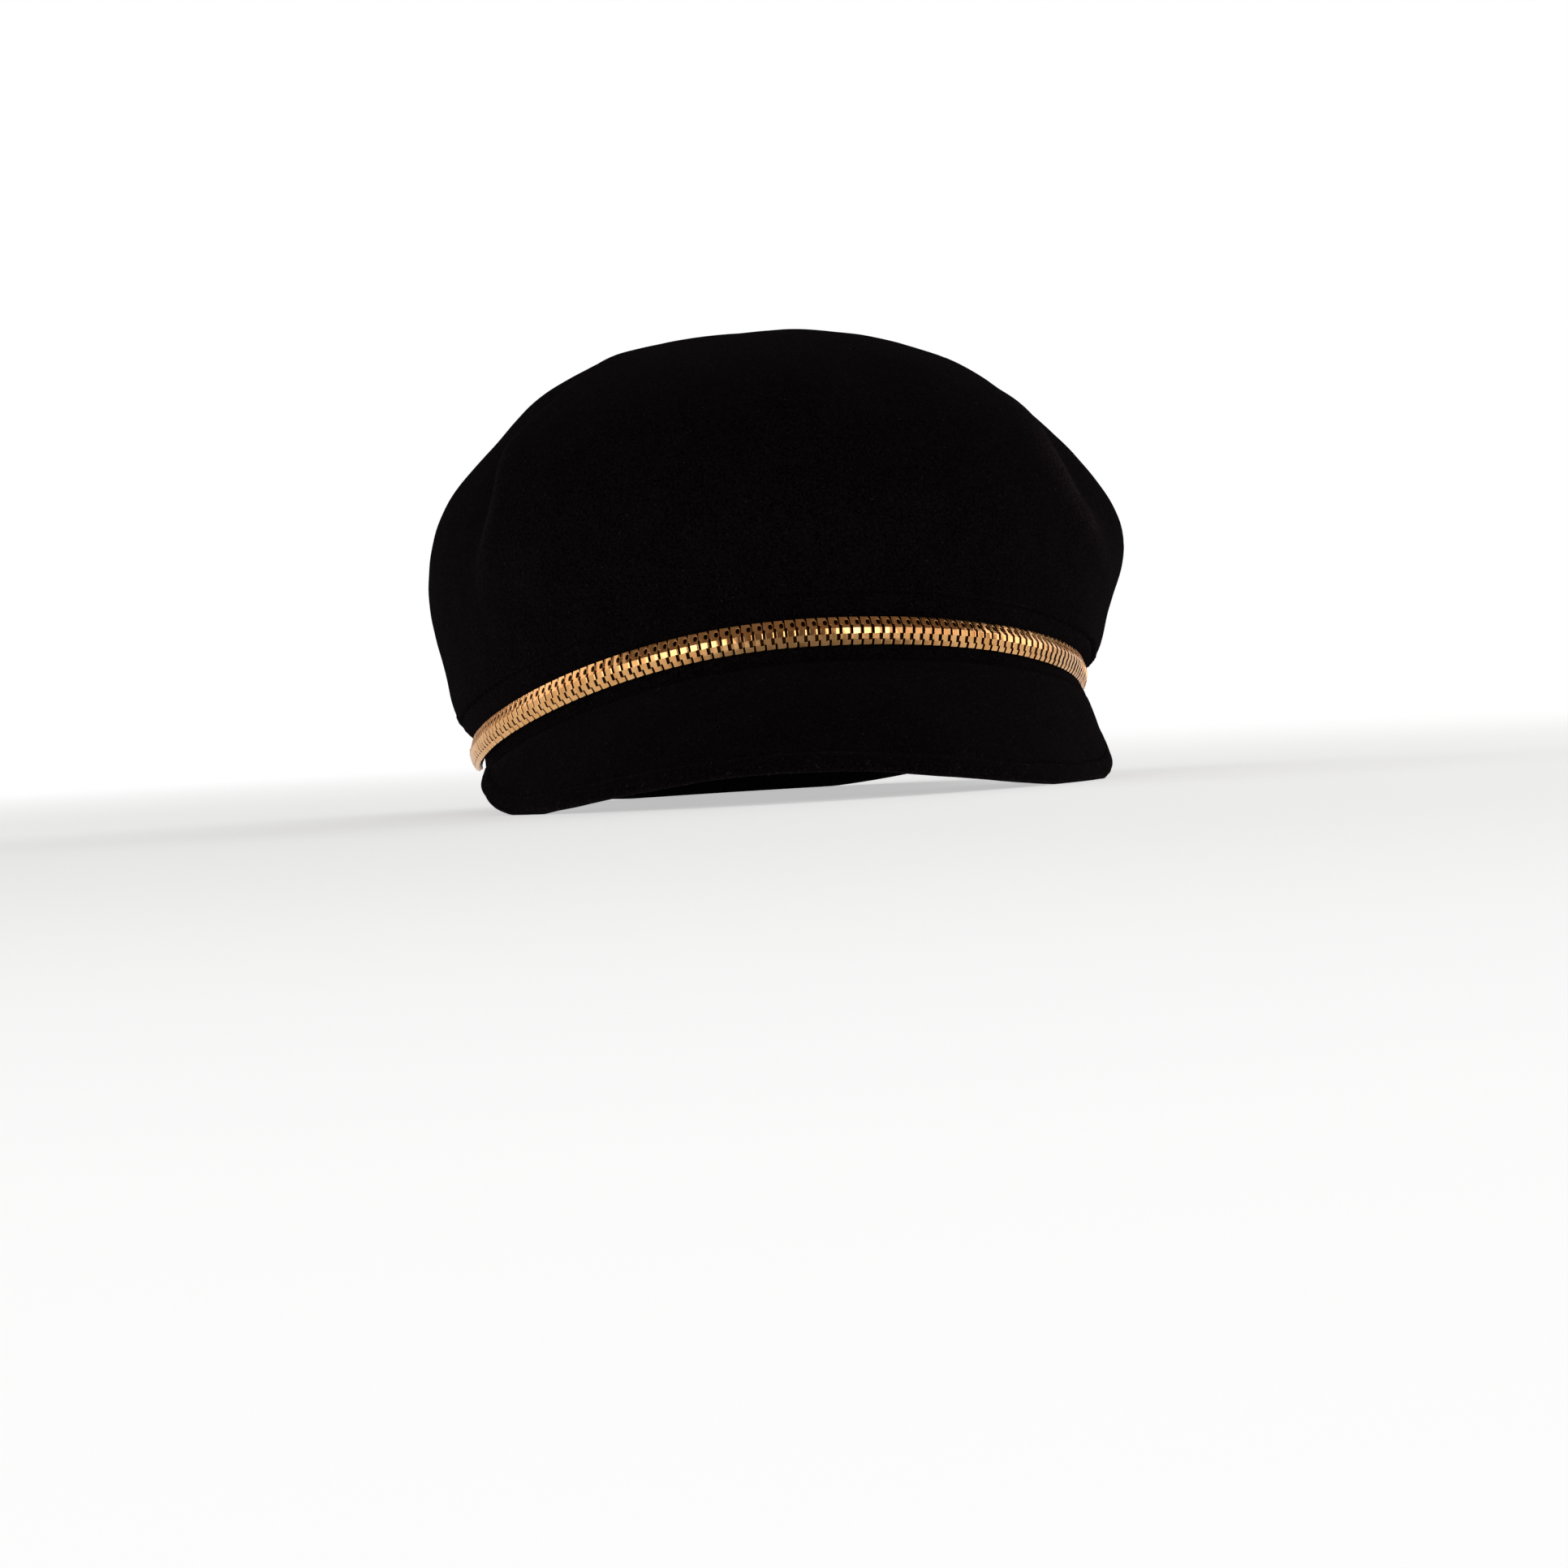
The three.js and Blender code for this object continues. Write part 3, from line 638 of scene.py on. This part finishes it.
# End of the chain: a crimped cap whose section is a rounded block (cosine and sine raised to a power
# under one), drawn in to a blunt round end and to a small lip at the chain
def makeCrimp(route, name, node, onward):
    f = np.linspace(0, 1, 30)
    shrink = 0.9*np.clip((f - 0.75)/0.25, 0, 1)**2.2 + 0.4*np.clip((0.08 - f)/0.08, 0, 1)**2
    shrink = shrink + 0.2*bell((f - 0.22)/0.05)
    angle = -np.arange(crimp["sides"])*2*np.pi/crimp["sides"]
    c, s = np.cos(angle), np.sin(angle)
    c, s = np.sign(c)*np.abs(c)**crimp["roundness"], np.sign(s)*np.abs(s)**crimp["roundness"]
    across = c[None]*(crimp["wide"]/2 - shrink[:, None])
    outward = crimp["clear"] + crimp["thick"]/2 + s[None]*(crimp["thick"]/2 - shrink[:, None]*0.8)
    run = onward*(crimp["gap"] + f*crimp["long"]) + (route.length if onward > 0 else 0)
    points = route.carry(np.broadcast_to(run[:, None], across.shape), across, outward)
    faces = tubeFaces(*across.shape)
    if onward < 0:
        faces = [g[:, ::-1] for g in faces]
    return makePiece(name, points, faces, [node])


fuzz = {
    "crown": 17000, "peak": 12000,
    "long": (0.4, 1.7), "thick": (0.03, 0.055), "rise": (0.02, 0.75),
}


# Loose fibres of the felt: each is a three-sided tube of two lengths that lies along the felt, rises
# a little and curls, set at random on a grid of points by the area of its cells
def makeFuzz(name, grid, count, seed):
    rng = np.random.default_rng(seed)
    a, b, c, d = grid[:-1, :-1], grid[:-1, 1:], grid[1:, 1:], grid[1:, :-1]
    cross = np.cross(c - a, d - b)
    area = np.linalg.norm(cross, axis=-1)/2
    pick = rng.choice(area.size, count, p=(area/area.sum()).ravel())
    normal = unit(cross.reshape(-1, 3)[pick])
    f, g = rng.uniform(size=(2, count, 1))
    corner = [v.reshape(-1, 3)[pick] for v in (a, b, c, d)]
    root = (corner[0]*(1 - f) + corner[1]*f)*(1 - g) + (corner[3]*(1 - f) + corner[2]*f)*g
    flat = unit(np.cross(normal, rng.normal(size=(count, 3))))
    low, high = fuzz["rise"]
    rise = low + (high - low)*rng.uniform(size=(count, 1))**2.5
    first = unit(flat + normal*rise*1.6)
    second = unit(first + unit(np.cross(normal, flat))*rng.normal(size=(count, 1))*0.8 - normal*rise*0.5)
    size = rng.uniform(*fuzz["long"], (count, 1))
    middle = root + first*size*0.5
    tip = middle + second*size*0.5
    aside = unit(np.cross(first, rng.normal(size=(count, 3))))
    beside = np.cross(first, aside)
    turn = np.arange(3)*2*np.pi/3
    ring = aside[:, None]*np.cos(turn)[None, :, None] + beside[:, None]*np.sin(turn)[None, :, None]
    radius = rng.uniform(*fuzz["thick"], (count, 1, 1))/2
    ring = ring*radius
    points = np.concatenate([root[:, None] + ring, middle[:, None] + ring*0.85, tip[:, None]], 1)
    k = np.arange(3)
    n = (k + 1) % 3
    quads = np.stack([k, n, n + 3, k + 3], -1)
    tris = np.concatenate([np.stack([k + 3, n + 3, k*0 + 6], -1), [[2, 1, 0]]])
    shift = (np.arange(count)*7)[:, None, None]
    faces = [(quads[None] + shift).reshape(-1, 4), (tris[None] + shift).reshape(-1, 3)]
    return makePiece(name, points, faces, smooth=False)


print("making the felt")
crownPiece, crownFace = makeCrown()
peakPiece, peakFace, peakAndEdge = makePeak()
stitchPiece = makeStitches(peakFace)
print("making the chain")
route = Route()
chainPiece = makeChain(route)
corePiece = makeChainCore(route)
crimps = [makeCrimp(route, "chain_cap_left", "chain_end_left", -1),
          makeCrimp(route, "chain_cap_right", "chain_end_right", 1)]
print("making the fuzz")
half = crownFace.shape[1]//2
rightHalf = np.concatenate([crownFace[:, half:], crownFace[:, :1]], 1)
fuzzes = [makeFuzz("crown_fuzz_left", crownFace[:, :half + 1], fuzz["crown"], 21),
          makeFuzz("crown_fuzz_right", rightHalf, fuzz["crown"], 22),
          makeFuzz("peak_fuzz", peakAndEdge, fuzz["peak"], 23)]


# A new material with its tree, links and shader
def newMaterial(name):
    material = bpy.data.materials.new(name)
    material.use_nodes = True
    nodes, links = material.node_tree.nodes, material.node_tree.links
    return material, nodes, links, nodes["Principled BSDF"]


# Noise on the piece's own coordinates, stretched where a pattern runs one way
def addNoise(nodes, links, coords, scale, detail, rough=0.5, stretch=None):
    noise = nodes.new("ShaderNodeTexNoise")
    noise.inputs["Scale"].default_value = scale
    noise.inputs["Detail"].default_value = detail
    noise.inputs["Roughness"].default_value = rough
    source = coords.outputs["Object"]
    if stretch:
        mapping = nodes.new("ShaderNodeMapping")
        mapping.inputs["Scale"].default_value = stretch
        links.new(source, mapping.inputs["Vector"])
        source = mapping.outputs["Vector"]
    links.new(source, noise.inputs["Vector"])
    return noise


# Colours blended between two stops
def addRamp(nodes, links, source, stops):
    ramp = nodes.new("ShaderNodeValToRGB")
    for element, (at, colour) in zip(ramp.color_ramp.elements, stops):
        element.position, element.color = at, (*colour, 1)
    links.new(source, ramp.inputs["Fac"])
    return ramp


# Black wool felt: two shades of near black in soft patches and fine fibres, with painted highlight and
# shade at the folds, with a fine matted bump and a low sheen
def feltMaterial(name, dark, light, bumpHeight, sheen):
    material, nodes, links, shader = newMaterial(name)
    coords = nodes.new("ShaderNodeTexCoord")
    patches = addNoise(nodes, links, coords, 110, 3, 0.5)
    fibres = addNoise(nodes, links, coords, 1500, 3, 0.85)
    matted = addNoise(nodes, links, coords, 420, 6, 0.65, (1, 1, 0.55))
    mix = nodes.new("ShaderNodeMath")
    mix.operation = "MULTIPLY_ADD"
    mix.inputs[1].default_value = 0.1
    links.new(patches.outputs["Fac"], mix.inputs[0])
    half = nodes.new("ShaderNodeMath")
    half.operation = "MULTIPLY"
    half.inputs[1].default_value = 0.9
    links.new(fibres.outputs["Fac"], half.inputs[0])
    links.new(half.outputs[0], mix.inputs[2])
    ramp = addRamp(nodes, links, mix.outputs[0], [(0.41, dark), (0.62, light)])
    # painted highlight and shade at the folds: the felt's colour times one plus the attribute
    foldHighlightAndShade, plusOne, shade = (nodes.new("ShaderNode" + k) for k in ("Attribute", "Math", "VectorMath"))
    foldHighlightAndShade.attribute_name, shade.operation = "foldHighlightAndShade", "SCALE"
    plusOne.inputs[1].default_value = 1
    links.new(foldHighlightAndShade.outputs["Fac"], plusOne.inputs[0])
    links.new(ramp.outputs["Color"], shade.inputs[0])
    links.new(plusOne.outputs[0], shade.inputs["Scale"])
    links.new(shade.outputs[0], shader.inputs["Base Color"])
    rough = nodes.new("ShaderNodeMapRange")
    rough.inputs["To Min"].default_value, rough.inputs["To Max"].default_value = 0.85, 1.0
    links.new(patches.outputs["Fac"], rough.inputs["Value"])
    links.new(rough.outputs["Result"], shader.inputs["Roughness"])
    shader.inputs["Specular IOR Level"].default_value = 0.0
    shader.inputs["Sheen Weight"].default_value = sheen
    shader.inputs["Sheen Roughness"].default_value = 0.45
    shader.inputs["Sheen Tint"].default_value = (0.95, 0.8, 0.9, 1)
    if bumpHeight:
        height = nodes.new("ShaderNodeMath")
        height.operation = "ADD"
        links.new(fibres.outputs["Fac"], height.inputs[0])
        links.new(matted.outputs["Fac"], height.inputs[1])
        bump = nodes.new("ShaderNodeBump")
        bump.inputs["Strength"].default_value = 0.9
        bump.inputs["Distance"].default_value = bumpHeight
        links.new(height.outputs[0], bump.inputs["Height"])
        links.new(bump.outputs["Normal"], shader.inputs["Normal"])
    return material


# Polished brass with a warm plating: slight differences in tone, soft smears and fine scratches
def brassMaterial(name, dark, light, roughness, bumpHeight):
    material, nodes, links, shader = newMaterial(name)
    coords = nodes.new("ShaderNodeTexCoord")
    tone = addNoise(nodes, links, coords, 240, 3)
    ramp = addRamp(nodes, links, tone.outputs["Fac"], [(0.35, dark), (0.65, light)])
    links.new(ramp.outputs["Color"], shader.inputs["Base Color"])
    smear = addNoise(nodes, links, coords, 700, 4, 0.6)
    rough = nodes.new("ShaderNodeMapRange")
    rough.inputs["To Min"].default_value = roughness*0.75
    rough.inputs["To Max"].default_value = roughness*1.3
    links.new(smear.outputs["Fac"], rough.inputs["Value"])
    links.new(rough.outputs["Result"], shader.inputs["Roughness"])
    shader.inputs["Metallic"].default_value = 1
    scratch = addNoise(nodes, links, coords, 900, 3, 0.5, (0.15, 0.15, 3))
    bump = nodes.new("ShaderNodeBump")
    bump.inputs["Strength"].default_value = 0.35
    bump.inputs["Distance"].default_value = bumpHeight
    links.new(scratch.outputs["Fac"], bump.inputs["Height"])
    links.new(bump.outputs["Normal"], shader.inputs["Normal"])
    return material


print("finishing the surfaces")
crownFelt = feltMaterial("crown felt", (0.0010, 0.0006, 0.0008), (0.0066, 0.0048, 0.0056), 0.0004, 0.015)
peakFelt = feltMaterial("peak felt", (0.0009, 0.0005, 0.0007), (0.0058, 0.0040, 0.0045), 0.0004, 0.02)
fibreFelt = feltMaterial("loose fibres", (0.012, 0.010, 0.011), (0.12, 0.105, 0.115), 0, 0.002)
thread = feltMaterial("black thread", (0.003, 0.0022, 0.0026), (0.006, 0.0045, 0.005), 0.00005, 0.005)
brass = brassMaterial("gold plate", (0.76, 0.375, 0.13), (0.89, 0.49, 0.2), 0.15, 0.00002)
# painted shade: a near-black copy of the gold plate, for the core and the links' inner faces
paintedShadeBrass = brassMaterial("painted shade inside the chain", (0.05, 0.02, 0.008), (0.09, 0.035, 0.012), 0.5, 0.00003)
for piece, material in ((crownPiece, crownFelt), (peakPiece, peakFelt), (stitchPiece, thread),
                        (chainPiece, brass), (corePiece, paintedShadeBrass), (crimps[0], brass), (crimps[1], brass),
                        *((piece, fibreFelt) for piece in fuzzes)):
    piece.data.materials.append(material)
# painted shade on the links' inner faces
chainPiece.data.materials.append(paintedShadeBrass)

studio = {
    "floor": 0.86, "glow": 0.5,    # how pale the floor is, and how much it shines by itself
    # how bright the metal mirrors the floor, as metres from the line at x floorDimAt and brightness:
    # nearer than the first, and past the second
    "floorMirrored": ((0.045, 0.25), (0.09, 0.75)), "floorDimAt": 0.015,
    "fade": (0.35, 1.6),      # metres from the cap over which it fades into the background
    "seen": 1.0,              # brightness of the background behind the cap
    "room": 0.12,             # brightness of the room that lights the felt
    "mirrored": 0.4,          # what the metal mirrors of the room round the horizon
    "overhead": 0.15, "dimFront": 0.11, "dimAzimuth": -13,   # and overhead, and in front at an azimuth
    "warm": (1, 0.76, 0.6),   # tint of all that
    # azimuth, elevation, distance in metres, width, height, power in watts
    "boxes": {
        "front": (28, 6, 1.9, 0.68, 0.8, 6),
        "front left": (-37, 6, 1.9, 0.9, 0.8, 6.5),
        "beside left": (-72, 5, 1.9, 1.4, 1.0, 4.0),
        "front right": (62, 6, 1.9, 1.3, 0.8, 2),
        "above": (0, 80, 1.8, 2.4, 2.4, 0.7),
        "right": (106, 16, 1.8, 1.0, 1.5, 8.5),
        "back right": (142, 20, 1.8, 1.3, 1.2, 6),
        "left": (-116, 18, 1.8, 1.0, 1.8, 6),
    },
}


# Floor, background and soft boxes, each box aimed at the cap
def makeStudio():
    side = 9.0
    low = -0.00005
    mesh = bpy.data.meshes.new("floor")
    corners = [(-side, -side, low), (side, -side, low), (side, side, low), (-side, side, low)]
    mesh.from_pydata(corners, [], [(0, 1, 2, 3)])
    floor = bpy.data.objects.new("floor", mesh)
    bpy.context.scene.collection.objects.link(floor)
    material, nodes, links, shader = newMaterial("pale floor")
    shader.inputs["Base Color"].default_value = (studio["floor"],)*3 + (1,)
    shader.inputs["Roughness"].default_value = 0.8
    shader.inputs["Specular IOR Level"].default_value = 0.2
    shader.inputs["Emission Color"].default_value = (1, 1, 1, 1)
    shader.inputs["Emission Strength"].default_value = studio["glow"]
    coords, apart = nodes.new("ShaderNodeTexCoord"), nodes.new("ShaderNodeVectorMath")
    apart.operation = "LENGTH"
    links.new(coords.outputs["Object"], apart.inputs[0])
    fade, glow, blend = (nodes.new("ShaderNode" + k) for k in ("MapRange", "Emission", "MixShader"))
    fade.inputs["From Min"].default_value, fade.inputs["From Max"].default_value = studio["fade"]
    fade.interpolation_type = "SMOOTHSTEP"
    links.new(apart.outputs["Value"], fade.inputs["Value"])
    links.new(fade.outputs["Result"], blend.inputs["Fac"])
    links.new(shader.outputs[0], blend.inputs[1])
    links.new(glow.outputs[0], blend.inputs[2])
    ray, inMetal, pick = (nodes.new("ShaderNode" + k) for k in ("LightPath", "Emission", "MixShader"))
    across, shift, aside, near = (nodes.new("ShaderNode" + k)
                                  for k in ("SeparateXYZ", "Math", "Math", "MapRange"))
    shift.operation, aside.operation = "SUBTRACT", "ABSOLUTE"
    shift.inputs[1].default_value = studio["floorDimAt"]
    inner, outer = studio["floorMirrored"]
    near.inputs["From Min"].default_value, near.inputs["To Min"].default_value = inner
    near.inputs["From Max"].default_value, near.inputs["To Max"].default_value = outer
    links.new(coords.outputs["Object"], across.inputs[0])
    links.new(across.outputs["X"], shift.inputs[0])
    links.new(shift.outputs[0], aside.inputs[0])
    links.new(aside.outputs[0], near.inputs["Value"])
    links.new(near.outputs["Result"], inMetal.inputs["Strength"])
    links.new(ray.outputs["Is Glossy Ray"], pick.inputs["Fac"])
    links.new(blend.outputs[0], pick.inputs[1])
    links.new(inMetal.outputs[0], pick.inputs[2])
    links.new(pick.outputs[0], nodes["Material Output"].inputs["Surface"])
    mesh.materials.append(material)
    world = bpy.data.worlds.new("studio")
    bpy.context.scene.world = world
    world.use_nodes = True
    nodes, links = world.node_tree.nodes, world.node_tree.links
    room = nodes["Background"]
    room.inputs["Color"].default_value = (1, 0.99, 0.98, 1)
    room.inputs["Strength"].default_value = studio["room"]
    seen = nodes.new("ShaderNodeBackground")
    seen.inputs["Color"].default_value = (1, 1, 1, 1)
    seen.inputs["Strength"].default_value = studio["seen"]
    # what the metal mirrors: bright round the horizon, dim overhead and dim straight in front, each
    # by the cosine of the angle to the middle of the dim part
    way, mirrored, least = (nodes.new("ShaderNode" + k) for k in ("TexCoord", "Background", "Math"))
    least.operation = "MINIMUM"
    turn = math.radians(studio["dimAzimuth"])
    dims = (((0, 0, 1), 0.1, 0.75, studio["overhead"]),
            ((math.sin(turn), -math.cos(turn), 0), 0.6, 0.92, studio["dimFront"]))
    for k, (aim, start, end, strength) in enumerate(dims):
        toward, dim = nodes.new("ShaderNodeVectorMath"), nodes.new("ShaderNodeMapRange")
        toward.operation, dim.interpolation_type = "DOT_PRODUCT", "SMOOTHSTEP"
        toward.inputs[1].default_value = aim
        dim.inputs["From Min"].default_value, dim.inputs["From Max"].default_value = start, end
        dim.inputs["To Min"].default_value, dim.inputs["To Max"].default_value = studio["mirrored"], strength
        links.new(way.outputs["Generated"], toward.inputs[0])
        links.new(toward.outputs["Value"], dim.inputs["Value"])
        links.new(dim.outputs["Result"], least.inputs[k])
    links.new(least.outputs[0], mirrored.inputs["Strength"])
    mirrored.inputs["Color"].default_value = (*studio["warm"], 1)
    ray = nodes.new("ShaderNodeLightPath")
    source = room
    for kind, other in (("Is Glossy Ray", mirrored), ("Is Camera Ray", seen)):
        mix = nodes.new("ShaderNodeMixShader")
        links.new(ray.outputs[kind], mix.inputs["Fac"])
        links.new(source.outputs[0], mix.inputs[1])
        links.new(other.outputs[0], mix.inputs[2])
        source = mix
    links.new(source.outputs[0], nodes["World Output"].inputs["Surface"])
    middle = Vector((0, 0, 0.06))
    for name, (azimuth, elevation, distance, wide, tall, power) in studio["boxes"].items():
        az, el = math.radians(azimuth), math.radians(elevation)
        away = Vector((math.sin(az)*math.cos(el), -math.cos(az)*math.cos(el), math.sin(el)))
        data = bpy.data.lights.new(name, "AREA")
        data.shape, data.size, data.size_y, data.energy = "RECTANGLE", wide, tall, power
        light = bpy.data.objects.new(name, data)
        light.matrix_world = (Matrix.Translation(middle + away*distance)
                              @ away.to_track_quat("Z", "Y").to_matrix().to_4x4())
        bpy.context.scene.collection.objects.link(light)
    bpy.context.scene.view_settings.view_transform = "Standard"


makeStudio()
print("studio lit")
